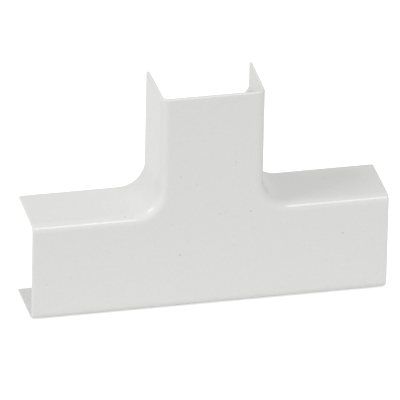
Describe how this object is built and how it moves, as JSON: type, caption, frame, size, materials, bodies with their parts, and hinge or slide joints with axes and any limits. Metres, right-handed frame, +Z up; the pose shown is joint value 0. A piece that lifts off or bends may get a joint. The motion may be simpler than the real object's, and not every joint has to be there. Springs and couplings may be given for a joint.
{
  "type": "trunking tee fitting",
  "caption": "Clip-on flat tee cover for mini trunking: a thin rounded channel with an open back, a straight-through run, a branch at right angles with swept corners, and small snap catches.",
  "frame": {"origin": "midway along the run and midway through the depth, level with the lowest edge", "axes": "+X along the run, +Z up along the branch, +Y from the front face to the open back and the wall of the room"},
  "size_m": [0.0956, 0.0174, 0.0618],
  "materials": {
    "cover": "satin"
  },
  "bodies": {
    "root": {"tee_cover": "cover"}
  },
  "joints": []
}
